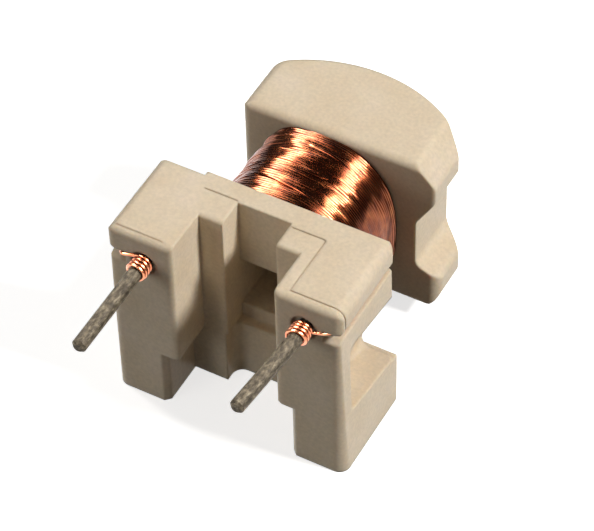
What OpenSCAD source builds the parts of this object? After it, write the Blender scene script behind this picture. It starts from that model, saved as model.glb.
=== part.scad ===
// Bobbin coil: a one-piece moulded former with a head flange and a tail
// flange, a coil of enamelled wire wound between them, and two tinned
// contact pins in the head that the ends of the wire are wrapped on.
// Millimetres, +Z up. The coil's axis runs along Y, the pins point to -Y,
// and the origin is under the middle of the whole part, on the ground.

/* [View] */
// Piece to show: all, or the name of one piece

/* [Core hole and tube] */
// Width of the rectangular hole through the former
core_width = 2.5; // [1.8:0.1:3]
// Height of the hole
core_height = 2.7; // [2:0.1:3.2]
// Wall of the tube round the hole
tube_wall = 0.6; // [0.4:0.05:0.9]
// Height of the coil's axis above the ground
axis_height = 5.13; // [4.9:0.01:5.3]

/* [Head flange] */
// Width over the cap of the head
head_width = 10.8; // [10.4:0.1:12]
// Height of the head
head_height = 9.9; // [9.9:0.1:11]
// Depth of the two legs in front of the wall
leg_depth = 2.25; // [1.6:0.05:3]
// Width of the gap between the legs
leg_gap = 4.7; // [4.2:0.1:5.2]
// Depth of the channel in the wall, in front of the hole
channel_depth = 1.3; // [0.8:0.05:1.8]
// Thickness of the plate behind the channel
plate_thickness = 1.05; // [0.8:0.05:1.6]
// Extra half-width of the feet, from the mould's draft
foot_flare = 0.09; // [0:0.01:0.3]
// How far the cap stands proud of the side below it
cap_overhang = 0.09; // [0:0.01:0.2]
// Rounding of the cap's top corners
cap_radius = 0.5; // [0.2:0.05:0.8]
// Rounding of the upright outer edges
corner_radius = 0.5; // [0.2:0.05:0.7]
// Rounding of the head's top edges
edge_radius = 0.34; // [0.15:0.01:0.5]

/* [Heels] */
// How far a heel stands out behind the plate
heel_reach = 0.3; // [0.1:0.02:0.6]
// Height of a heel
heel_height = 2.7; // [1.5:0.05:2.75]
// Distance of a heel's inner side from the middle
heel_side = 3.6; // [3.5:0.05:4.2]

/* [Undercut between the feet] */
// Height of the wider gap between the feet
undercut_height = 3.03; // [1.5:0.01:3.2]
// How far each foot is cut back there
undercut_step = 0.6; // [0.2:0.05:0.9]
// Chamfer on the front edge of that cut
undercut_chamfer = 0.24; // [0.1:0.02:0.4]
// Width of the channel below that height
low_channel_width = 2.7; // [2:0.05:3]
// Depth of the channel below that height
low_channel_depth = 0.85; // [0.5:0.01:1.3]
// Rounding of that channel's upright corners
low_channel_radius = 0.5; // [0.1:0.05:0.8]

/* [Wire grooves] */
// How far the groove's middle lies below the top of the head
groove_drop = 1.45; // [1.1:0.05:1.6]
// Width of the groove
groove_width = 0.46; // [0.3:0.02:0.6]
// Depth of the groove from the side
groove_depth = 0.52; // [0.4:0.02:0.7]
// How far the groove's floor falls at its mouth
groove_mouth = 0.17; // [0.05:0.01:0.3]
// Length and extra depth of the groove's flared mouth
groove_entry = 0.35; // [0.2:0.01:0.5]
// Depth of the wire relief behind the plate, on the start side
relief_depth = 0.32; // [0.26:0.02:0.6]
// Distance of the relief from the middle
relief_start = 3.2; // [2.5:0.1:3.4]

/* [Side notch] */
// Distance of the notch's inner wall from the middle
notch_wall = 3.9; // [3.4:0.1:4.2]
// Depth of the leg left in front of the notch
notch_column = 0.8; // [0.6:0.05:1.2]
// Height of the notch's floor at the column
notch_floor = 3.32; // [3.25:0.01:3.6]
// Height of the notch's ceiling at the column
notch_ceiling = 7.16; // [6.6:0.01:7.3]
// Fall of the notch towards the coil
notch_fall = 0.5; // [0:0.05:0.7]
// Rounding inside the notch
notch_radius = 0.4; // [0.2:0.05:0.6]

/* [Tail flange] */
// Height of the tail's underside above the ground
tail_bottom = 0.7; // [0.4:0.05:0.9]
// How far the tail's top lies below the top of the head
tail_drop = 0.7; // [0.2:0.05:0.7]
// Distance of the plain side from the middle
tail_plain_side = 4.4; // [4:0.02:4.8]
// Distance of the cap's nose from the middle
tail_cap_side = 4.83; // [4.4:0.01:5]
// Distance of the foot's side from the middle
tail_foot_side = 5.09; // [4.6:0.01:5.2]
// Distance of the cove's inner wall from the middle
tail_cove_wall = 3.97; // [3.7:0.01:4.1]
// Height of the foot's side above the tail's underside
tail_foot_height = 2; // [1.2:0.05:2.2]
// Height of the cove's floor, at its wall, above the underside
tail_cove_floor = 2.45; // [2:0.05:2.6]
// How far the cove's ceiling, at its wall, lies below the top
tail_cove_ceiling = 3.4; // [2.8:0.05:4]
// How far the nose's lower edge lies below the top
tail_nose_low = 1.9; // [1.6:0.05:2.2]
// How far the nose's upper edge lies below the top
tail_nose_high = 1; // [0.6:0.05:1.3]
// Width of the slope from the top down to the nose
tail_shoulder = 0.95; // [0.6:0.05:1.3]
// Depth of the tail in the middle
tail_depth = 4.23; // [3.4:0.01:5]
// Radius of the tail's curved back
tail_radius = 6.8; // [6:0.1:9]
// Rounding of the tail's profile
tail_edge = 0.48; // [0.2:0.02:0.55]
// Rounding of the plain side's top edge
tail_plain_radius = 0.65; // [0.4:0.05:0.9]
// Rounding of the foot's lower edge
tail_foot_radius = 1.2; // [0.4:0.05:1.4]
// Rounding of the plain rear corner
tail_corner = 0.8; // [0.4:0.05:1.2]

/* [Winding] */
// Distance between the flanges
winding_length = 4.7; // [3.6:0.1:6]
// Half-width of the coil at the tail
winding_half_width = 3.36; // [3:0.01:3.45]
// Extra half-width of the coil at the head
winding_bulge = 0.17; // [0:0.01:0.25]
// How far the turns sit to the start side
winding_shift = 0.18; // [0:0.01:0.2]
// Half-height of the coil
winding_half_height = 4.0; // [3.6:0.01:4]
// Lean of the coil's section, in height for each unit of width
winding_lean = 0.05; // [0:0.01:0.06]
// Squareness of the coil's section, 2 is an oval
winding_squareness = 2.4; // [2:0.1:4]
// Diameter of the wire with its enamel
wire_diameter = 0.17; // [0.12:0.01:0.2]

/* [Pins] */
// Diameter of a pin
pin_diameter = 0.64; // [0.5:0.02:0.8]
// Distance between the two pins
pin_spacing = 7.4; // [7:0.1:7.8]
// How far the pins lie below the top of the head
pin_drop = 1.45; // [1.3:0.05:1.7]
// Length of a pin in front of the head
pin_reach = 5.1; // [3.5:0.1:7]
// Length of a pin inside the leg
pin_seat = 2.4; // [1.5:0.1:3]
// How much the coined flats take off the pin's root
pin_coin = 0.02; // [0.01:0.005:0.04]
// How far the finish pin's free end is bent up, in degrees
pin_rise = 4; // [0:0.5:6]
// How far it is bent towards the other pin, in degrees
pin_swing = 3; // [0:0.5:5]
// Chamfer on a pin's tip
pin_chamfer = 0.12; // [0.05:0.01:0.2]
// Diameter of the recess round a pin's root
pin_recess = 1.16; // [1:0.02:1.3]
// Depth of that recess
pin_recess_depth = 0.22; // [0.1:0.02:0.4]

/* [Leads] */
// Turns of wire wrapped on a pin
wrap_turns = 4; // [3:1:7]
// Distance from turn to turn on a pin
wrap_pitch = 0.2; // [0.18:0.01:0.25]
// How far the wrapped turns reach into the pin's recess
wrap_sink = 0.09; // [0.02:0.01:0.1]
// Distance from the middle where the finish lead comes onto the coil
finish_landing = 1.9; // [1:0.1:2.5]
// Distance behind the plate where it does
finish_step = 0.4; // [0.3:0.05:0.8]
// Height above the coil's axis where the start lead ends
start_landing = 1.6; // [0.5:0.1:2.5]

/* [Scored lines] */
// Width of the fine lines that the mould leaves on the cap
score_width = 0.07; // [0.05:0.01:0.12]
// Depth of those lines
score_depth = 0.045; // [0.02:0.005:0.08]
// Distance of the finish side's front line behind the front face
score_finish_front = 0.36; // [0.3:0.02:0.6]
// Distance of the finish side's long line from the middle
score_finish_side = 2.87; // [2.6:0.01:3.1]
// Distance of the start side's front line behind the front face
score_start_front = 0.25; // [0.2:0.01:0.5]
// Distance of the plate's line from its back, on the start side
score_start_plate = 0.97; // [0.5:0.01:1]
// Distance of the plate's line from its back, on the finish side
score_finish_plate = 1.23; // [0.6:0.01:1.3]

/* [Hidden] */
eps = 0.01;
wire_gap = 0.02;

head_depth = leg_depth + channel_depth + plate_thickness;
tail_front = head_depth + winding_length;
total_depth = tail_front + tail_depth;
shift_y = (pin_reach - total_depth) / 2;
groove_height = head_height - groove_drop;
tail_top = head_height - tail_drop;
pin_height = head_height - pin_drop;
half_head = head_width / 2;
half_foot = half_head + foot_flare;
tube_width = core_width + 2 * tube_wall;
tube_height = core_height + 2 * tube_wall;
pin_x = pin_spacing / 2;
pin_r = pin_diameter / 2;
root_r = pin_r - pin_coin;
wire_r = wire_diameter / 2;
wrap_end = (wrap_turns - 1) * wrap_pitch + wire_diameter - wrap_sink;
pin_bend = wrap_end + 0.04;
groove_low = groove_height - groove_width / 2;
groove_high = groove_height + groove_width / 2;
groove_wall = half_head - groove_depth;
plastic = [0.87, 0.82, 0.73];
copper = [0.62, 0.30, 0.16];
tin = [0.52, 0.48, 0.44];

// ---- plane helpers ----

// Rounds the outward corners of a flat shape.
module ease_out(r) { offset(r, $fn = 32) offset(-r) children(); }

// Rounds the inward corners of a flat shape.
module ease_in(r) { offset(-r, $fn = 32) offset(r) children(); }

// Plan view (X, Y) raised between two heights.
module raise(z0, z1) { translate([0, 0, z0]) linear_extrude(z1 - z0) children(); }

// Front view (X, Z) carried back between two depths.
module carry(y0, y1) {
    translate([0, y1, 0]) rotate([90, 0, 0]) linear_extrude(y1 - y0) children();
}

// Side view (Y, Z) carried across between two widths.
module cross(x0, x1) {
    translate([x0, 0, 0]) rotate([90, 0, 90]) linear_extrude(x1 - x0) children();
}

module span(x0, y0, x1, y1) { translate([x0, y0]) square([x1 - x0, y1 - y0]); }

// ---- former ----

// Front view of one half of the head, from the gap out to the cap.
module head_half(inner) {
    intersection() {
        ease_out(cap_radius) polygon([
            [-half_head, -2], [half_foot, -2], [half_foot, 0],
            [half_head - cap_overhang, groove_low],
            [half_head - cap_overhang, groove_high],
            [half_head, groove_high], [half_head, head_height],
            [-half_head, head_height]]);
        ease_out(edge_radius * 0.7) span(inner, 0, half_foot + 1, head_height + 1);
    }
}

// One leg, drawn on the +X side.
module leg() {
    intersection() {
        carry(0, leg_depth + edge_radius) head_half(leg_gap / 2);
        raise(0, head_height) ease_out(corner_radius)
            span(leg_gap / 2 - corner_radius * 0.4, 0, half_foot, head_depth + 2);
        cross(0, half_foot) ease_out(edge_radius)
            span(0, -1, head_depth + 2, head_height);
    }
}

// Heel of one foot, behind the plate, on the +X side.
module heel() {
    intersection() {
        carry(leg_depth, head_depth + heel_reach) head_half(heel_side);
        raise(0, heel_height) ease_out(0.3)
            span(heel_side, leg_depth, half_foot, head_depth + heel_reach);
        cross(0, half_foot) ease_out(0.15)
            span(leg_depth, -1, head_depth + heel_reach, heel_height);
    }
}

// The wall and plate that join the legs.
module wall() {
    intersection() {
        carry(leg_depth, head_depth) union() {
            head_half(0);
            mirror([1, 0]) head_half(0);
            span(-1, 0, 1, head_height);
        }
        raise(0, head_height) ease_out(corner_radius)
            span(-half_foot, 0, half_foot, head_depth);
        cross(-half_foot, half_foot) ease_out(0.18)
            span(leg_depth, -1, head_depth, head_height);
    }
}

// Wider gap between the feet, with chamfered front edges.
module undercut() {
    reach = leg_gap / 2 + undercut_step;
    intersection() {
        raise(-1, undercut_height) polygon([
            [-reach - undercut_chamfer, -1], [reach + undercut_chamfer, -1],
            [reach + undercut_chamfer, 0], [reach, undercut_chamfer],
            [reach, leg_depth], [-reach, leg_depth],
            [-reach, undercut_chamfer], [-reach - undercut_chamfer, 0]]);
        carry(-2, leg_depth + 1) ease_out(0.2)
            span(-reach - 1, -3, reach + 1, undercut_height);
    }
}

// Channel in the wall: square above the undercut, shallow and round-cornered
// below it.
module channel() {
    raise(undercut_height, head_height + 1)
        span(-core_width / 2, leg_depth - 1, core_width / 2, leg_depth + channel_depth);
    raise(-1, undercut_height + eps) ease_out(low_channel_radius)
        span(-low_channel_width / 2, leg_depth - 1,
             low_channel_width / 2, leg_depth + low_channel_depth);
}

// Groove for the lead along one side of the cap, open at both ends.
module groove() {
    raise(groove_low, groove_high) polygon([
        [groove_wall, groove_entry], [groove_wall, head_depth + 1],
        [half_foot + 1, head_depth + 1], [half_foot + 1, -1],
        [groove_wall - groove_entry, -1], [groove_wall - groove_entry, groove_entry * 0.3]]);
    cross(groove_wall - groove_entry, half_foot + 1) polygon([
        [-1, groove_low - groove_mouth], [0, groove_low - groove_mouth],
        [groove_entry, groove_low], [groove_entry, groove_low + eps],
        [-1, groove_low + eps]]);
}

// Fine line across the top of the head, between two widths.
module score_across(y, x0, x1) {
    translate([x0, y - score_width / 2, head_height - score_depth])
        cube([x1 - x0, score_width, 1]);
}

// Fine line that runs on over the cap's corner and down to the groove.
module score_round(y, x0) {
    carry(y - score_width / 2, y + score_width / 2) difference() {
        span(x0, groove_high - 0.1, half_foot + 1, head_height + 1);
        offset(delta = -score_depth) head_half(0);
    }
}

// The lines that the mould's inserts leave on the cap and the plate.
module scores() {
    channel_edge = core_width / 2 + 0.05;
    score_round(score_finish_front, score_finish_side);
    translate([score_finish_side, score_finish_front, head_height - score_depth])
        cube([score_width, head_depth - score_finish_plate - score_finish_front, 1]);
    score_across(head_depth - score_finish_plate, channel_edge, score_finish_side);
    score_across(score_start_front, -half_foot - 1, -score_finish_side);
    score_across(head_depth - score_start_plate, -score_finish_side, -channel_edge);
}

// Notch in the finish side, which falls towards the coil.
module side_notch() {
    fall = notch_fall / (head_depth - notch_column);
    over = 1;
    intersection() {
        cross(notch_wall, half_foot + 1) ease_out(notch_radius) polygon([
            [notch_column, notch_floor], [notch_column, notch_ceiling],
            [head_depth + over, notch_ceiling - fall * (head_depth + over - notch_column)],
            [head_depth + over, notch_floor - fall * (head_depth + over - notch_column)]]);
        raise(0, head_height) ease_out(notch_radius)
            span(notch_wall, notch_column, half_foot + 3, head_depth + 3);
        carry(0, head_depth + 2) ease_out(notch_radius)
            span(notch_wall, notch_floor - notch_fall, half_foot + 3, head_height + 3);
    }
}

module head() {
    difference() {
        union() {
            for (side = [0, 1]) mirror([side, 0, 0]) {
                leg();
                heel();
            }
            wall();
        }
        undercut();
        channel();
        groove();
        mirror([1, 0, 0]) groove();
        side_notch();
        scores();
        raise(axis_height, head_height + 1)
            span(-half_foot - 1, head_depth - relief_depth, -relief_start, head_depth + 1);
    }
}

// Front view of the tail: plain on one side, cap, cove and foot on the other.
module tail_profile() {
    intersection() {
        ease_in(tail_edge) ease_out(tail_edge) polygon([
            [-tail_plain_side, tail_bottom], [tail_foot_side, tail_bottom],
            [tail_foot_side, tail_bottom + tail_foot_height],
            [tail_cove_wall, tail_bottom + tail_cove_floor],
            [tail_cove_wall, tail_top - tail_cove_ceiling],
            [tail_cap_side, tail_top - tail_nose_low],
            [tail_cap_side, tail_top - tail_nose_high],
            [tail_cap_side - tail_shoulder, tail_top],
            [-tail_plain_side, tail_top]]);
        ease_out(tail_plain_radius)
            span(-tail_plain_side, tail_bottom - 2, tail_foot_side + 2, tail_top);
        ease_out(tail_foot_radius)
            span(-tail_plain_side - 2, tail_bottom, tail_foot_side, tail_top + 2);
    }
}

// Plan view of the tail: flat in front, curved at the back.
module tail_plan() {
    intersection() {
        ease_out(tail_corner) intersection() {
            span(-tail_plain_side, tail_front - 2, tail_foot_side + 2, total_depth + 1);
            translate([0, total_depth - tail_radius]) circle(tail_radius, $fn = 128);
        }
        ease_out(tail_edge)
            span(-tail_plain_side, tail_front, tail_foot_side, total_depth + 2);
    }
}

module tail() {
    intersection() {
        carry(tail_front, total_depth) tail_profile();
        raise(tail_bottom, tail_top) tail_plan();
        cross(-tail_plain_side, tail_foot_side) ease_out(tail_edge * 0.8)
            span(tail_front, tail_bottom, total_depth + 2, tail_top);
    }
}

// A box of the given width and height on the coil's axis.
module axis_box(w, h, y0, y1) {
    translate([-w / 2, y0, axis_height - h / 2]) cube([w, y1 - y0, h]);
}

// Pin seat and the recess round its mouth.
module pin_seat_cut(side) {
    translate([side * pin_x, 0, pin_height]) rotate([90, 0, 0]) {
        translate([0, 0, -pin_seat]) cylinder(h = pin_seat + 1, r = root_r, $fn = 12);
        translate([0, 0, -pin_recess_depth])
            cylinder(h = pin_recess_depth + 1, d = pin_recess, $fn = 48);
    }
}

module bobbin() {
    color(plastic) translate([0, shift_y, 0]) difference() {
        union() {
            head();
            axis_box(tube_width, tube_height, head_depth - 0.3, tail_front + 0.6);
            tail();
        }
        axis_box(core_width, core_height, leg_depth, total_depth + 1);
        pin_seat_cut(-1);
        pin_seat_cut(1);
    }
}

// ---- winding ----

function signed_power(v, p) = (v < 0 ? -1 : 1) * pow(abs(v), p);

// Point of the coil's section at angle t, for half-width a and ridge height h.
function section_point(t, a, h, y) =
    let (x = signed_power(cos(t), 2 / winding_squareness) * (a - wire_r + h),
         z = signed_power(sin(t), 2 / winding_squareness)
             * (winding_half_height - wire_r + h))
    [x - winding_shift, y, z - x * winding_lean + axis_height];

module winding_body() {
    steps = 40;
    turns = floor(winding_length / wire_diameter);
    pitch = winding_length / turns;
    lift = [0, 0.9];
    rings = concat(
        [for (k = [0 : turns - 1], s = [0 : 1])
            [tail_front - winding_length + (k + s / 2) * pitch,
             lift[s] * wire_r]],
        [[tail_front, 0]]);
    n = len(rings);
    points = [for (g = rings)
        let (a = winding_half_width
                + winding_bulge * pow((tail_front - g[0]) / winding_length, 1.5))
        for (j = [0 : steps - 1]) section_point(360 * j / steps, a, g[1], g[0])];
    faces = concat(
        [for (i = [0 : n - 2], j = [0 : steps - 1])
            let (k = (j + 1) % steps)
            [i * steps + j, i * steps + k, (i + 1) * steps + k, (i + 1) * steps + j]],
        [[for (j = [steps - 1 : -1 : 0]) j]],
        [[for (j = [0 : steps - 1]) (n - 1) * steps + j]]);
    polyhedron(points, faces, convexity = 4);
}

module winding() {
    color(copper) translate([0, shift_y, 0]) difference() {
        winding_body();
        axis_box(tube_width, tube_height, head_depth - 1, tail_front + 1);
    }
}

// ---- pins ----

// Root of a pin: coined to flats that hold it in the leg and keep the
// wrapped turns from slipping round.
module pin_root() {
    translate([0, 0, -pin_seat]) cylinder(h = pin_seat + pin_bend, r = root_r, $fn = 12);
}

// Round free end of a pin, from the end of the wrapped turns to the tip.
module pin_end() {
    length = pin_reach - pin_bend;
    start = 0.03;
    translate([0, 0, -start]) cylinder(h = length + start - pin_chamfer, r = pin_r, $fn = 48);
    translate([0, 0, length - pin_chamfer])
        cylinder(h = pin_chamfer, r1 = pin_r, r2 = pin_r - pin_chamfer, $fn = 48);
}

module pin(side, rise, swing) {
    color(tin) translate([side * pin_x, shift_y, pin_height]) {
        rotate([90, 0, 0]) pin_root();
        translate([0, -pin_bend, 0]) rotate([90 - rise, 0, -side * swing]) pin_end();
    }
}

module pin_left() { pin(-1, 0, 0); }

module pin_right() { pin(1, pin_rise, pin_swing); }

// ---- leads ----

// Turns wrapped on a pin: a ridged sleeve that sits tight on it.
module wraps() {
    rotate([90, 0, 0]) rotate_extrude($fn = 36) polygon(concat(
        [[root_r, -wrap_sink], [root_r + wire_r, -wrap_sink]],
        [for (k = [0 : wrap_turns - 1], s = [1 : 4])
            if (s < 4)
                [root_r + wire_r + wire_r * sin(s * 45),
                 wire_r + k * wrap_pitch - wrap_sink - wire_r * cos(s * 45)]
            else if (k < wrap_turns - 1)
                [root_r + wire_r * 0.8, wire_r + (k + 0.5) * wrap_pitch - wrap_sink]],
        [[root_r + wire_r, wrap_end], [root_r, wrap_end]]));
}

// Round wire through a list of points.
module wire_run(path) {
    for (i = [0 : len(path) - 2]) {
        d = path[i + 1] - path[i];
        l = norm(d);
        translate(path[i]) rotate([0, acos(d[2] / l), atan2(d[1], d[0])])
            cylinder(h = l, r = wire_r, $fn = 12);
        translate(path[i + 1]) sphere(wire_r, $fn = 12);
    }
    translate(path[0]) sphere(wire_r, $fn = 12);
}

wire_y = -wire_gap - wire_r;
wrap_reach = root_r + wire_r;
groove_rest = groove_low + wire_r + wire_gap;
groove_x = groove_wall + wire_r + 0.1;
winding_top = axis_height + winding_half_height;

// The lead on the +X side: off the wrapped turns on their outer side, and
// across the face into the groove.
function lead_start() = [
    [pin_x + wrap_reach * cos(40), wire_y - 0.05, pin_height + wrap_reach * sin(40)],
    [groove_wall - 0.26, wire_y - 0.01, groove_height + 0.1],
    [groove_x - 0.08, 0.32, groove_height],
    [groove_x, 0.6, groove_rest]];

module finish_lead() {
    color(copper) translate([0, shift_y, 0]) {
        translate([pin_x, 0, pin_height]) wraps();
        wire_run(concat(lead_start(), [
            [groove_x, head_depth - 0.1, groove_rest],
            [groove_x - 0.25, head_depth + wire_r + 0.1, groove_rest + 0.03],
            [finish_landing, head_depth + finish_step, winding_top - 0.12]]));
    }
}

module start_lead() {
    relief_y = head_depth - relief_depth / 2;
    color(copper) translate([0, shift_y, 0]) mirror([1, 0, 0]) {
        translate([pin_x, 0, pin_height]) wraps();
        wire_run(concat(lead_start(), [
            [groove_x, head_depth - relief_depth - 0.1, groove_rest],
            [groove_x - 0.15, relief_y, groove_rest - 0.12],
            [relief_start + 0.15, relief_y, axis_height + start_landing]]));
    }
}

bobbin();
winding();
pin_left();
pin_right();
start_lead();
finish_lead();
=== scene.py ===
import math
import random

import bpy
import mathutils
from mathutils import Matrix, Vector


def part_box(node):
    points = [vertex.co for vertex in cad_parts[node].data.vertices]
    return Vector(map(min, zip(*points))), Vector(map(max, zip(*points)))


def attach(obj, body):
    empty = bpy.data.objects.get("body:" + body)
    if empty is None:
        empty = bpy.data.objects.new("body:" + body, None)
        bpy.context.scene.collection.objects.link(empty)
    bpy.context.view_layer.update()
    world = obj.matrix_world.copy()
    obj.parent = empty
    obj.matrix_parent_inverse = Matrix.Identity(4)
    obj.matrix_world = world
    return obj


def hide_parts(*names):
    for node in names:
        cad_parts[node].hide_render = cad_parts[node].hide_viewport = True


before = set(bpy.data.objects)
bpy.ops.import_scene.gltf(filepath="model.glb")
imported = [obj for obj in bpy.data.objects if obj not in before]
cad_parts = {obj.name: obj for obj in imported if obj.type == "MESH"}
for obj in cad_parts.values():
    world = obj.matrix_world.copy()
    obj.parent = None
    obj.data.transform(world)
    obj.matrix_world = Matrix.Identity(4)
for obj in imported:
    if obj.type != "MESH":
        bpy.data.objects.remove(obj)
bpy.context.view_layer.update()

# %% [markdown]
# # Bobbin coil
# A moulded plastic former carries a coil of enamelled copper wire, and two
# stiff pins hold the wire's ends. The former and the pins keep the meshes of
# the CAD model and only get a finish here. The coil and the two leads are
# swept again as round wire, because the flat ridges of the solid can't catch
# the light turn by turn.

MM = 0.001


# %% [markdown]
# ## Small tools
# Blender works in linear light, while colours are mostly written as sRGB hex
# codes, so one function turns the one into the other. A noise texture counts
# its features in a metre, and a second function works that out from a size in
# millimetres, such as 1 / 6.5 for 6.5 grains to a millimetre. A third adds a
# node to a tree, sets it up, and links or sets its inputs, so that each
# material below reads as a short list.

# %% Colour, size and node tools
def linear(code):
    """sRGB hex code to a linear RGBA colour."""
    def channel(v):
        return v / 12.92 if v <= 0.04045 else ((v + 0.055) / 1.055) ** 2.4
    return tuple(channel(int(code[i:i + 2], 16) / 255) for i in (0, 2, 4)) + (1.0,)


def per_metre(size):
    """Texture scale for features of a size in millimetres."""
    return 1 / (size * MM)


def node(tree, kind, settings=None, **inputs):
    """Adds a node with its settings. An input, named or numbered as i0, i1 and
    so on, is a value or a socket to link from. The setting "stops" of a colour
    ramp is a list of (position, hex code)."""
    made = tree.nodes.new(kind)
    for name, value in (settings or {}).items():
        if name == "stops":
            points = made.color_ramp.elements
            while len(points) < len(value):
                points.new(0.5)
            for point, (position, code) in zip(points, value):
                point.position = position
                point.color = linear(code)
        else:
            setattr(made, name, value)
    for name, value in inputs.items():
        key = int(name[1:]) if name[0] == "i" and name[1:].isdigit() else name.replace("_", " ")
        socket = made.inputs[key]
        if isinstance(value, bpy.types.NodeSocket):
            tree.links.new(value, socket)
        else:
            socket.default_value = value
    return made


def material(name):
    """A material with an empty node tree, ready to be built."""
    made = bpy.data.materials.new(name)
    made.use_nodes = True
    made.node_tree.nodes.clear()
    return made, made.node_tree


print("tools ready; half grey is", round(linear("808080")[0], 3), "in linear light")


# %% [markdown]
# ## The plastic
# The former is one injection moulding in a cream thermoplastic. The mould
# leaves a dull satin skin with a fine grain, and its corners come out slightly
# round. The corners could be rounded in the mesh, but a Bevel node bends only
# the shading at each edge, which is enough at this size and leaves the CAD
# mesh as it is. A little light travels under the surface, which gives the
# soft, waxy edges. The clear reflection is nearly off, because a bright table
# mirrored at a flat angle would wash out the side walls.

# %% Cream moulded thermoplastic, satin
DRIFT_SIZE = 1 / 0.42   # slow change of tone across a wall
GRAIN_SIZE = 1 / 6.5    # coarser than a real moulded skin, so that it shows
CORNER_RADIUS = 0.2
LIGHT_REACH = 0.4
RELIEF = 0.02           # depth of the grain


def make_plastic():
    made, tree = material("cream_moulded_plastic")
    place = node(tree, "ShaderNodeTexCoord").outputs["Object"]
    drift = node(tree, "ShaderNodeTexNoise", Vector=place, Scale=per_metre(DRIFT_SIZE), Detail=2.0)
    tone = node(tree, "ShaderNodeValToRGB",
                {"stops": [(0.3, "DDC9AC"), (0.55, "E1CFB4"), (0.75, "E4D2BA")]}, Fac=drift.outputs["Fac"])
    grain = node(tree, "ShaderNodeTexNoise", Vector=place, Scale=per_metre(GRAIN_SIZE), Detail=3.0)
    speckle = node(tree, "ShaderNodeMapRange", Value=grain.outputs["Fac"], i1=0.3, i2=0.7, i3=0.93, i4=1.05)
    colour = node(tree, "ShaderNodeVectorMath", {"operation": "SCALE"}, i0=tone.outputs["Color"],
                  Scale=speckle.outputs["Result"])
    soft = node(tree, "ShaderNodeBevel", {"samples": 8}, Radius=CORNER_RADIUS * MM)
    skin = node(tree, "ShaderNodeBump", Strength=0.25, Distance=RELIEF * MM,
                Height=grain.outputs["Fac"], Normal=soft.outputs["Normal"])
    body = node(tree, "ShaderNodeBsdfPrincipled", Base_Color=colour.outputs["Vector"], Roughness=0.42,
                Specular_IOR_Level=0.03, Subsurface_Weight=0.35, Subsurface_Radius=(1.0, 0.7, 0.4),
                Subsurface_Scale=LIGHT_REACH * MM, Normal=skin.outputs["Normal"])
    node(tree, "ShaderNodeOutputMaterial", Surface=body.outputs["BSDF"])
    return made


PLASTIC = make_plastic()
print("made", PLASTIC.name)


# %% [markdown]
# ## The wire
# Magnet wire is drawn copper under a baked coat of clear enamel. The metal
# gives a soft, coloured highlight, and the enamel puts a sharper, paler one
# over it. A metallic Principled shader with a coat does both. In a coil, light
# passes from turn to turn before it comes out, so the coil looks brown between
# its highlights, and its colours are painted dark: painted shade. A lead is the
# same wire, but one strand over pale plastic, so its colours are painted
# brighter and pinker: painted light. A noise of about half a millimetre makes
# the tone drift from turn to turn.

# %% Enamelled copper wire, glossy, with painted shade in the coil and painted light on the leads
TONE_SIZE = 1 / 2.2


def make_copper(name, dark, middle, light, roughness, coat):
    made, tree = material(name)
    place = node(tree, "ShaderNodeTexCoord").outputs["Object"]
    turns = node(tree, "ShaderNodeTexNoise", Vector=place, Scale=per_metre(TONE_SIZE), Detail=2.0)
    tone = node(tree, "ShaderNodeValToRGB", {"stops": [(0.3, dark), (0.52, middle), (0.72, light)]},
                Fac=turns.outputs["Fac"])
    body = node(tree, "ShaderNodeBsdfPrincipled", Base_Color=tone.outputs["Color"], Metallic=1.0,
                Roughness=roughness, Coat_Weight=coat, Coat_Roughness=0.12)
    node(tree, "ShaderNodeOutputMaterial", Surface=body.outputs["BSDF"])
    return made


# Painted shade: the coil's colours are far darker than clean copper. Painted light: the lead's colours are
# brighter and pinker.
COIL_WIRE_PAINTED_SHADE = make_copper("coil_copper_painted_shade", "5C2611", "783C1F", "8E5330", 0.18, 0.3)
LEAD_WIRE_PAINTED_LIGHT = make_copper("lead_copper_painted_light", "B8603A", "D48058", "EA9E74", 0.28, 0.6)
print("made", COIL_WIRE_PAINTED_SHADE.name, "and", LEAD_WIRE_PAINTED_LIGHT.name)


# %% [markdown]
# ## The pins
# The pins are drawn wire with a coat of tin. Old tin goes grey-brown and
# blotchy, and rough where it is stained. One noise drives the tone, the
# roughness and a slight relief, so that a dark stain is also a rough one. The
# noise is stretched along Y, the way the wire was drawn. Clean tin would be
# fully metallic, but here the stains hide most of the metal, so the metallic
# value is low.

# %% Dull tinned wire
STAIN_SIZE = 1 / 6.5
STAIN_STRETCH = 2


def make_tin():
    made, tree = material("dull_tinned_wire")
    place = node(tree, "ShaderNodeTexCoord").outputs["Object"]
    along = node(tree, "ShaderNodeMapping", Vector=place, Scale=(1.0, 1 / STAIN_STRETCH, 1.0))
    stain = node(tree, "ShaderNodeTexNoise", Vector=along.outputs["Vector"], Scale=per_metre(STAIN_SIZE),
                 Detail=5.0, Roughness=0.6)
    tone = node(tree, "ShaderNodeValToRGB",
                {"stops": [(0.34, "332C22"), (0.46, "4E4538"), (0.56, "675D4C"), (0.7, "8D816C")]},
                Fac=stain.outputs["Fac"])
    rough = node(tree, "ShaderNodeMapRange", Value=stain.outputs["Fac"], i3=0.7, i4=0.5)
    skin = node(tree, "ShaderNodeBump", Strength=0.5, Distance=RELIEF * MM, Height=stain.outputs["Fac"])
    body = node(tree, "ShaderNodeBsdfPrincipled", Base_Color=tone.outputs["Color"], Metallic=0.15,
                Roughness=rough.outputs["Result"], Specular_IOR_Level=0.2, Normal=skin.outputs["Normal"])
    node(tree, "ShaderNodeOutputMaterial", Surface=body.outputs["BSDF"])
    return made


TIN = make_tin()
print("made", TIN.name)

# %% [markdown]
# ## Dressing the CAD nodes
# The former and both pins take their shape from the CAD model. They could be
# modelled again here, but then the two models could drift apart, so they only
# get a material and their meshes stay untouched.

# %% Materials on the CAD nodes
for name, finish in (("bobbin", PLASTIC), ("pin_left", TIN), ("pin_right", TIN)):
    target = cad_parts[name]
    target.data.materials.clear()
    target.data.materials.append(finish)
    print("dressed", name, "in", finish.name)


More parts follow.
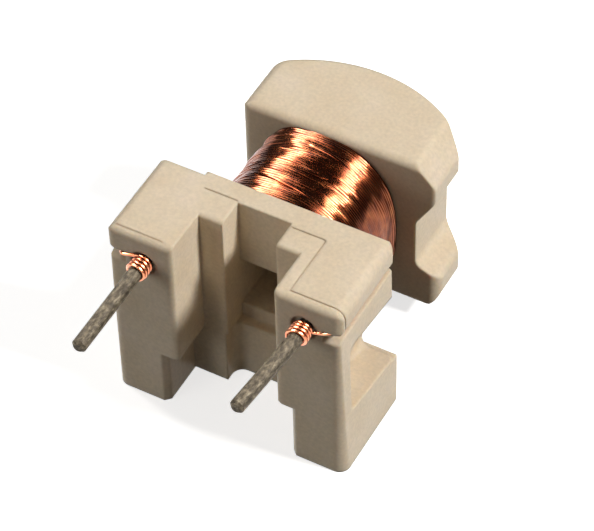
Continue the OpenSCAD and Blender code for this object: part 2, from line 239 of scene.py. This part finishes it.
# %% [markdown]
# ## A sweep for wire
# Every wire on the part is a round bar that follows a path. It could be a
# curve object with a bevel, but a Geometry Nodes tree can also shake the path
# a little first, as wound wire never lies quite straight. The tree turns a
# path of edges into a curve, moves its points by a seeded noise, sweeps a
# circle along it and sets the material. Its sizes are named inputs.

# %% The wire sweep, as geometry nodes
def make_sweep():
    tree = bpy.data.node_groups.new("wire_sweep", "GeometryNodeTree")
    ask = tree.interface.new_socket
    ask("Geometry", in_out="INPUT", socket_type="NodeSocketGeometry")
    for name, kind in (("Wire Radius", "NodeSocketFloat"), ("Sides", "NodeSocketInt"),
                       ("Shake", "NodeSocketFloat"), ("Shake Scale", "NodeSocketFloat"),
                       ("Seed", "NodeSocketFloat"), ("Material", "NodeSocketMaterial")):
        ask(name, in_out="INPUT", socket_type=kind)
    ask("Geometry", in_out="OUTPUT", socket_type="NodeSocketGeometry")
    given = node(tree, "NodeGroupInput").outputs
    path = node(tree, "GeometryNodeMeshToCurve", Mesh=given["Geometry"])
    noise = node(tree, "ShaderNodeTexNoise", {"noise_dimensions": "4D"},
                 W=given["Seed"], Scale=given["Shake Scale"], Detail=1.0)
    middle = node(tree, "ShaderNodeVectorMath", {"operation": "SUBTRACT"},
                  i0=noise.outputs["Color"], i1=(0.5, 0.5, 0.5))
    shift = node(tree, "ShaderNodeVectorMath", {"operation": "SCALE"},
                 i0=middle.outputs["Vector"], Scale=given["Shake"])
    moved = node(tree, "GeometryNodeSetPosition", Geometry=path.outputs["Curve"],
                 Offset=shift.outputs["Vector"])
    ring = node(tree, "GeometryNodeCurvePrimitiveCircle", {"mode": "RADIUS"},
                Resolution=given["Sides"], Radius=given["Wire Radius"])
    tube = node(tree, "GeometryNodeCurveToMesh", Curve=moved.outputs["Geometry"],
                Profile_Curve=ring.outputs["Curve"], Fill_Caps=True)
    smooth = node(tree, "GeometryNodeSetShadeSmooth", Geometry=tube.outputs["Mesh"])
    real = node(tree, "GeometryNodeRealizeInstances", Geometry=smooth.outputs["Geometry"])
    done = node(tree, "GeometryNodeSetMaterial", Geometry=real.outputs["Geometry"],
                Material=given["Material"])
    node(tree, "NodeGroupOutput", Geometry=done.outputs["Geometry"])
    return tree


SWEEP = make_sweep()
print("made", SWEEP.name, "with", len(SWEEP.nodes), "nodes")


# %% [markdown]
# ## Running the sweep
# A path becomes a mesh of loose edges, which carries the modifier. The result
# is taken as a plain mesh and the carrier is deleted, because the export
# keeps meshes and not node trees. A modifier's inputs are set by the sockets'
# identifiers, since names need not be unique.

# %% From paths to a wire object
SHAKE_SIZE = 1 / 2.6    # length of one wobble of the wire
print("a wobble in the wire is", round(SHAKE_SIZE, 2), "mm long")


def path_mesh(name, paths):
    """A mesh of loose edges along each list of points, in metres."""
    points, edges = [], []
    for path in paths:
        first = len(points)
        points += path
        edges += [(first + i, first + i + 1) for i in range(len(path) - 1)]
    made = bpy.data.meshes.new(name)
    made.from_pydata(points, edges, [])
    return made


def new_object(name, mesh):
    """A new object at the origin, with its place in its mesh."""
    made = bpy.data.objects.new(name, mesh)
    bpy.context.collection.objects.link(made)
    return made


def sweep(name, paths, finish, radius, sides=8, shake=0.0, seed=1.0):
    """Runs the sweep on the paths, with sizes in millimetres."""
    source = new_object(name + "_path", path_mesh(name + "_path", paths))
    run = source.modifiers.new("sweep", "NODES")
    run.node_group = SWEEP
    values = {"Wire Radius": radius * MM, "Sides": sides, "Shake": shake * MM,
              "Shake Scale": per_metre(SHAKE_SIZE), "Seed": seed, "Material": finish}
    for item in SWEEP.interface.items_tree:
        if item.in_out == "INPUT" and item.name in values:
            run[item.identifier] = values[item.name]
    bpy.context.view_layer.update()
    ready = source.evaluated_get(bpy.context.evaluated_depsgraph_get())
    mesh = bpy.data.meshes.new_from_object(ready)
    bpy.data.objects.remove(source)
    if not mesh.materials:
        mesh.materials.append(finish)
    print("swept", name, "with", len(mesh.polygons), "faces")
    return new_object(name, mesh)


# %% [markdown]
# ## The coil's section
# Wire pulled tight over a rectangular tube builds up to a squarish oval. Here
# it leans a little, and gets narrower towards the tail. A superellipse gives
# that shape with one number for how square it is, where a drawn outline would
# need many points. The coil's place and width come from the CAD winding's box.

# %% Sizes of the coil, in millimetres, and its section
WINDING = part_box("winding")
Y_HEAD = WINDING[0][1] / MM
Y_TAIL = WINDING[1][1] / MM
SHIFT_X = (WINDING[0][0] + WINDING[1][0]) / 2 / MM
HALF_WIDTH = (WINDING[1][0] - WINDING[0][0]) / 2 / MM
AXIS_Z = (WINDING[0][2] + WINDING[1][2]) / 2 / MM
HALF_HEIGHT = 4.0
SQUARENESS = 2.4    # 2 is an ellipse, and more is squarer
LEAN = 0.05         # drop in height for each millimetre to the right
TAPER = 0.17        # how much narrower each side is at the tail
TAPER_POWER = 1.5
WIRE_R = 0.09


def signed_power(value, power):
    return math.copysign(abs(value) ** power, value)


def section(angle, y, inset):
    """A point of the coil's section at an angle in radians, in metres."""
    to_tail = max(0.0, min(1.0, (Y_TAIL - y) / (Y_TAIL - Y_HEAD)))
    half = HALF_WIDTH - TAPER * (1 - to_tail ** TAPER_POWER)
    x = signed_power(math.cos(angle), 2 / SQUARENESS) * (half - inset)
    z = signed_power(math.sin(angle), 2 / SQUARENESS) * (HALF_HEIGHT - inset)
    return ((x + SHIFT_X) * MM, y * MM, (z - LEAN * x + AXIS_Z) * MM)


print("coil from", round(Y_HEAD, 2), "to", round(Y_TAIL, 2), "with its axis at", round(AXIS_Z, 2))

# %% [markdown]
# ## The top layer
# On a polished cylinder a lamp makes one straight line of light. On a coil
# the line is jagged, because each turn is pressed in here and out there. One
# helix from flange to flange makes all the turns. Pure noise would break the
# line at every turn, so each turn has a few waves round the section instead,
# and they drift from those of the turn before it. The highlight then breaks
# in small groups, as on a real coil.

# %% Turns of the top layer
TURNS = 38
STEPS = 96          # points in one turn
LAYER_INSET = 0.02  # how far the layer lies inside the coil's outline
FIRST_LAY = 0.02    # how much lower the first turn lies
LOOSE_LAY = 0.025   # most that any other turn lies lower
# Each wave has its count round the section, its size and its drift in radians
WAVES = ((3, 0.026, 0.9), (5, 0.022, 1.2), (8, 0.018, 1.5), (13, 0.01, 2.0))


def layer_path(seed):
    """One helix from flange to flange, with waves on each turn."""
    rng = random.Random(seed)
    phases = [[rng.uniform(0, math.tau) for _ in WAVES]]
    lay = [FIRST_LAY]
    for _ in range(TURNS):
        phases.append([p + rng.gauss(0, drift) for p, (_, _, drift) in zip(phases[-1], WAVES)])
        lay.append(rng.uniform(0.0, LOOSE_LAY))

    def depth(turn, angle):
        waves = [size * math.sin(count * angle + phase)
                 for (count, size, _), phase in zip(WAVES, phases[turn])]
        return lay[turn] + sum(waves)

    first, last = Y_HEAD + WIRE_R, Y_TAIL - WIRE_R
    path = []
    for i in range(TURNS * STEPS + 1):
        turn = min(i // STEPS, TURNS - 1)
        blend = i % STEPS / STEPS
        angle = math.tau * i / STEPS + math.pi
        wave = (1 - blend) * depth(turn, angle) + blend * depth(turn + 1, angle)
        y = first + (last - first) * i / (TURNS * STEPS)
        path.append(section(angle, y, WIRE_R + LAYER_INSET + wave))
    return path


turns = sweep("winding_turns", [layer_path(seed=11)], COIL_WIRE_PAINTED_SHADE, WIRE_R, shake=0.02, seed=3.0)

# %% [markdown]
# ## Loose strands
# As a coil fills up, the wire jumps from row to row, and a few strands lie
# across the others. The helix can't cross itself, so each strand is a short
# path of its own over the top layer. It rises in its middle, and its ends
# sink in among the turns.

# %% Strands that cross the top layer
# Each strand has its start and its span along Y, and two angles in degrees
STRANDS = ((1.2, 0.55, 60, 128), (2.6, -0.45, 75, 150), (3.6, 0.3, 50, 95),
           (0.5, 0.4, -20, 40), (2.2, -0.5, -30, 25))
STRAND_INSET = 0.03
STRAND_RISE = 0.05


def crossing(start_y, span, start, stop, steps=40):
    """A strand over the top layer, from one angle to another."""
    path = []
    for i in range(steps + 1):
        t = i / steps
        rise = STRAND_RISE * math.sin(math.pi * t) ** 0.5
        angle = math.radians(start + (stop - start) * t)
        path.append(section(angle, Y_HEAD + start_y + span * t, WIRE_R + STRAND_INSET - rise))
    return path


strands = sweep("winding_crossings", [crossing(*strand) for strand in STRANDS], COIL_WIRE_PAINTED_SHADE,
                0.9 * WIRE_R, seed=5.0)

# %% [markdown]
# ## The layer below
# Light that falls between two turns meets the next layer. A second set of
# turns would cost as many faces as the first and hardly show. A plain tube in
# the same copper closes the gaps instead. It runs through the lower half of
# the top layer's wire, so that only the gaps show it.

# %% Plain layer under the turns
UNDER_DEPTH = 1.5 * WIRE_R
FLANGE_GAP = 0.01


def under_layer(name, inset, steps=96):
    rows = (Y_HEAD + FLANGE_GAP, (Y_HEAD + Y_TAIL) / 2, Y_TAIL - FLANGE_GAP)
    points = [section(math.tau * k / steps, y, inset) for y in rows for k in range(steps)]
    faces = []
    for row in range(len(rows) - 1):
        for k in range(steps):
            a, b = row * steps + k, row * steps + (k + 1) % steps
            faces.append((a, a + steps, b + steps, b))
    mesh = bpy.data.meshes.new(name)
    mesh.from_pydata(points, [], faces)
    mesh.materials.append(COIL_WIRE_PAINTED_SHADE)
    mesh.shade_smooth()
    return new_object(name, mesh)


under = under_layer("winding_under_layer", UNDER_DEPTH)
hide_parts("winding")
for piece in (turns, strands, under):
    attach(piece, "root")
    print("coil piece:", piece.name)

# %% [markdown]
# ## The turns on the pins
# Each end of the wire is wound a few times round its pin, so that solder can
# join the two. The turns lie unevenly in pitch and in height. A plain helix
# would look like a machined thread, so two seeded lists push each turn a
# little. The helix runs from the loose end, which is tucked in against the
# pin, back to the recess in the head.

# %% Sizes of the leads, in millimetres, and their turns
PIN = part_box("pin_left")
PIN_X = -(PIN[0][0] + PIN[1][0]) / 2 / MM
PIN_Z = (PIN[0][2] + PIN[1][2]) / 2 / MM
ROOT_R = 0.30           # the pin under the turns
FACE_Y = Y_HEAD - 4.6   # front face of the head
LEAD_R = 0.075
LAST_GAP = 0.02         # from the last turn's middle to the face
UNEVEN_PITCH = 0.05
UNEVEN_HEIGHT = 0.06
TUCK = 0.12             # how far the loose end is pushed in
TUCK_STEPS = 7


def wraps(count, pitch, seed, leave, steps=28):
    """Turns round a pin, which the wire leaves at an angle in degrees."""
    rng = random.Random(seed)
    uneven = [rng.uniform(-UNEVEN_PITCH, UNEVEN_PITCH) for _ in range(int(count) + 3)]
    high = [rng.uniform(0.0, UNEVEN_HEIGHT) for _ in range(int(count) + 3)]
    path = []
    for i in range(round(count * steps) + 1):
        turn, part = divmod(i, steps)
        t = part / steps
        y = FACE_Y - LAST_GAP - pitch * (count - i / steps)
        y += uneven[turn] * (1 - t) + uneven[turn + 1] * t
        r = ROOT_R + LEAD_R + high[turn] * (1 - t) + high[turn + 1] * t
        r -= TUCK * max(0.0, 1 - i / TUCK_STEPS)
        angle = math.radians(leave) - math.tau * (i / steps - count)
        path.append((PIN_X + r * math.cos(angle), y, PIN_Z + r * math.sin(angle)))
    return path


print("pins at x", round(PIN_X, 2), "z", round(PIN_Z, 2), "in front of y", round(FACE_Y, 2))

# %% [markdown]
# ## The way back to the coil
# From its pin each lead steps across to a groove in the side of the head,
# runs back along it, and ends on the coil: over the top on the right, and
# down behind the plate on the left. A wire can't turn a sharp corner, so each
# corner of the route is cut by a short smooth bend. Both leads are made on
# the right, and the left one's points are mirrored before they are swept. A
# mirrored mesh would have its faces turned inside out.

# %% Both leads
GROOVE_X = 4.97
GROOVE_Z = 8.325
ENTRY = (GROOVE_X - 0.05, FACE_Y + 0.32, GROOVE_Z + 0.1)
IN_GROOVE = (GROOVE_X, FACE_Y + 0.6, GROOVE_Z)


def rounded(points, reach=0.14, steps=5):
    """The same corners, each turned by a short smooth bend."""
    made = [points[0]]
    for before, corner, after in zip(points, points[1:], points[2:]):
        a, c, b = (mathutils.Vector(p) for p in (before, corner, after))
        cut = min(reach, (a - c).length / 2, (b - c).length / 2)
        p, q = c + (a - c).normalized() * cut, c + (b - c).normalized() * cut
        for k in range(steps + 1):
            t = k / steps
            made.append(tuple(p * (1 - t) ** 2 + c * 2 * t * (1 - t) + q * t * t))
    made.append(points[-1])
    return made


def lead(node_name, side, wrap, route):
    """One lead: its turns on the pin and then its route, on one side."""
    way = rounded([wrap[-1]] + route)
    path = [(side * x * MM, y * MM, z * MM) for x, y, z in wrap + way[1:]]
    made = sweep(node_name + "_wire", [path], LEAD_WIRE_PAINTED_LIGHT, LEAD_R, sides=10)
    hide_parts(node_name)
    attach(made, "root")


lead("finish_lead", 1, wraps(3.7, 0.18, seed=21, leave=0),
     [(4.5, FACE_Y + 0.02, PIN_Z + 0.04), ENTRY, IN_GROOVE,
      (GROOVE_X, Y_HEAD - 0.1, GROOVE_Z),
      (GROOVE_X - 0.3, Y_HEAD + 0.2, GROOVE_Z + 0.05),
      (1.9, Y_HEAD + 0.4, AXIS_Z + HALF_HEIGHT - 0.13)])
lead("start_lead", -1, wraps(3.55, 0.18, seed=34, leave=45),
     [(4.68, FACE_Y - 0.07, PIN_Z + 0.17), ENTRY, IN_GROOVE,
      (GROOVE_X, Y_HEAD - 0.42, GROOVE_Z),
      (GROOVE_X - 0.15, Y_HEAD - 0.16, GROOVE_Z - 0.12),
      (3.35, Y_HEAD - 0.16, 6.73)])


# %% [markdown]
# ## The floor
# The part stands on a pale table. More light on the table would also bleach
# the part, so its material gives each kind of ray its own answer. The camera
# sees near white with a soft shadow: a matt layer takes the shadow, and some
# glow lifts it to white.
# What the floor throws back at the part is a choice of its own. Light that
# bounces off it is dimmer, so that the undersides stay dark. A mirrored ray
# that has touched nothing matt sees it bright, as shiny copper sees a white
# table.

# %% Pale floor
FLOOR_SIZE = 1200
FLOOR_GAP = 0.02    # keeps the floor clear of the feet


def make_floor():
    made, tree = material("pale_floor")
    ray = node(tree, "ShaderNodeLightPath").outputs
    matt = node(tree, "ShaderNodeBsdfDiffuse", Color=linear("E6E4E0"))
    glow = node(tree, "ShaderNodeEmission", Color=linear("FFFFFF"), Strength=0.72)
    seen = node(tree, "ShaderNodeAddShader", i0=matt.outputs[0], i1=glow.outputs[0])
    bounce = node(tree, "ShaderNodeBsdfDiffuse", Color=linear("5C5A57"))
    shine = node(tree, "ShaderNodeEmission", Color=linear("FFFFFF"), Strength=1.95)
    straight = node(tree, "ShaderNodeMath", {"operation": "LESS_THAN"}, i0=ray["Diffuse Depth"], i1=0.5)
    mirror = node(tree, "ShaderNodeMath", {"operation": "MULTIPLY"},
                  i0=ray["Is Glossy Ray"], i1=straight.outputs[0])
    unseen = node(tree, "ShaderNodeMixShader", Fac=mirror.outputs[0],
                  i1=bounce.outputs[0], i2=shine.outputs[0])
    both = node(tree, "ShaderNodeMixShader", Fac=ray["Is Camera Ray"],
                i1=unseen.outputs[0], i2=seen.outputs[0])
    node(tree, "ShaderNodeOutputMaterial", Surface=both.outputs[0])
    bpy.ops.mesh.primitive_plane_add(size=FLOOR_SIZE * MM, location=(0, 0, -FLOOR_GAP * MM))
    floor = bpy.context.object
    floor.name = "floor"
    floor.data.materials.append(made)
    print("laid", floor.name)


make_floor()

# %% [markdown]
# ## Lamps
# A soft key lamp high on the right lights the tops and the right-hand walls
# and throws the shadow. A weaker one opposite it lifts the left of the coil,
# and a wide, dim one at the front left lights the front faces. Each lamp's
# size sets how soft its shadow is. Area lamps are used, because a point or a
# sun lamp makes a harder shadow than a window or a soft box does.

# %% Three soft lamps
LAMP_DISTANCE = 250 * MM
LAMP_TARGET = mathutils.Vector((0, 0, 5 * MM))


def lamp(name, direction, size, power):
    """A soft square lamp, with its size in millimetres, that looks at the part."""
    data = bpy.data.lights.new(name, "AREA")
    data.size = size * MM
    data.energy = power
    made = bpy.data.objects.new(name, data)
    bpy.context.collection.objects.link(made)
    way = mathutils.Vector(direction).normalized()
    made.location = LAMP_TARGET + way * LAMP_DISTANCE
    made.rotation_euler = way.to_track_quat("Z", "Y").to_euler()
    print("lamp", name, "at", power, "W")


lamp("key", (0.70, 0.11, 0.70), 35, 0.55)
lamp("second", (-0.62, 0.14, 0.77), 30, 0.14)
lamp("front_fill", (-0.55, -0.80, 0.22), 160, 0.14)


# %% [markdown]
# ## The world
# What lights a matt part and what shows in a shiny one can differ. The camera
# sees plain white behind the part, matt surfaces get a dim even light, and
# mirrored rays see a dark room with two strip lights overhead that run along
# the coil. The strips make the two long bright bands on the copper, and the
# dark room keeps the copper dark between them.

# %% White background, dim fill and two strip lights
STRIPS = ((0.62, 10, 28.0), (-0.62, 8.5, 28.0))   # side, half width in degrees, strength
STRIP_HEIGHT = 0.78
STRIP_BLUR = 0.4                # share of the half width that is soft
STRIP_START = (0.48, 0.66)      # how far up a ray points where the strips fade in


def strip(tree, way, up, side, half_width, strength):
    """A soft strip light overhead that runs along Y, as reflections see it."""
    slope = mathutils.Vector((STRIP_HEIGHT, 0.0, -side)).normalized()
    across = node(tree, "ShaderNodeVectorMath", {"operation": "DOT_PRODUCT"}, i0=way, i1=tuple(slope))
    off = node(tree, "ShaderNodeMath", {"operation": "ABSOLUTE"}, i0=across.outputs["Value"])
    edge = math.sin(math.radians(half_width))
    lit = node(tree, "ShaderNodeMapRange", {"interpolation_type": "SMOOTHSTEP"}, Value=off.outputs[0],
               i1=edge * (1 - STRIP_BLUR), i2=edge * (1 + STRIP_BLUR), i3=strength, i4=0.0)
    above = node(tree, "ShaderNodeMapRange", {"interpolation_type": "SMOOTHSTEP"}, Value=up,
                 i1=STRIP_START[0], i2=STRIP_START[1], i3=0.0, i4=1.0)
    return node(tree, "ShaderNodeMath", {"operation": "MULTIPLY"}, i0=lit.outputs["Result"],
                i1=above.outputs["Result"]).outputs[0]


def make_world():
    world = bpy.data.worlds.new("studio")
    bpy.context.scene.world = world
    world.use_nodes = True
    tree = world.node_tree
    tree.nodes.clear()
    ray = node(tree, "ShaderNodeLightPath").outputs
    sharp = node(tree, "ShaderNodeMath", {"operation": "MAXIMUM"},
                 i0=ray["Is Glossy Ray"], i1=ray["Is Transmission Ray"])
    straight = node(tree, "ShaderNodeMath", {"operation": "LESS_THAN"}, i0=ray["Diffuse Depth"], i1=0.5)
    mirror = node(tree, "ShaderNodeMath", {"operation": "MULTIPLY"},
                  i0=sharp.outputs[0], i1=straight.outputs[0])
    way = node(tree, "ShaderNodeTexCoord").outputs["Generated"]
    up = node(tree, "ShaderNodeSeparateXYZ", Vector=way).outputs["Z"]
    room = node(tree, "ShaderNodeMapRange", Value=up, i1=0.05, i2=0.3, i3=0.09, i4=0.07).outputs["Result"]
    for side, half_width, strength in STRIPS:
        light = strip(tree, way, up, side, half_width, strength)
        room = node(tree, "ShaderNodeMath", {"operation": "ADD"}, i0=room, i1=light).outputs[0]
    matt = node(tree, "ShaderNodeBackground", Color=linear("FFFFFF"), Strength=0.095)
    mirrored = node(tree, "ShaderNodeBackground", Color=linear("FFFFFF"), Strength=room)
    white = node(tree, "ShaderNodeBackground", Color=linear("FFFFFF"), Strength=1.0)
    unseen = node(tree, "ShaderNodeMixShader", Fac=mirror.outputs[0],
                  i1=matt.outputs[0], i2=mirrored.outputs[0])
    both = node(tree, "ShaderNodeMixShader", Fac=ray["Is Camera Ray"],
                i1=unseen.outputs[0], i2=white.outputs[0])
    node(tree, "ShaderNodeOutputWorld", Surface=both.outputs[0])
    print("world", world.name, "with", len(STRIPS), "strips")


make_world()

# %% [markdown]
# ## The camera
# A long lens looks steeply down from the front right. From close by with a
# short lens, the pins would look too big for the coil. The camera has its
# place, the way it looks, and a slight roll about that way.

# %% Camera
CAMERA_PLACE = (42.16 * MM, -71.84 * MM, 98.6 * MM)
CAMERA_WAY = (-0.33215, 0.5806, -0.74335)
CAMERA_ROLL = -0.0264
CAMERA_LENS = 181.8

camera_data = bpy.data.cameras.new("camera")
camera_data.sensor_fit = "HORIZONTAL"
camera_data.sensor_width = 36.0
camera_data.lens = CAMERA_LENS
camera_data.clip_start = MM
camera = bpy.data.objects.new("camera", camera_data)
bpy.context.collection.objects.link(camera)
camera.location = CAMERA_PLACE
turn = mathutils.Vector(CAMERA_WAY).to_track_quat("-Z", "Y")
camera.rotation_mode = "QUATERNION"
camera.rotation_quaternion = turn @ mathutils.Quaternion((0, 0, 1), CAMERA_ROLL)
bpy.context.scene.camera = camera
bpy.context.scene.view_settings.view_transform = "Standard"
print("camera", round(camera.location.length / MM), "mm away with a", CAMERA_LENS, "mm lens")
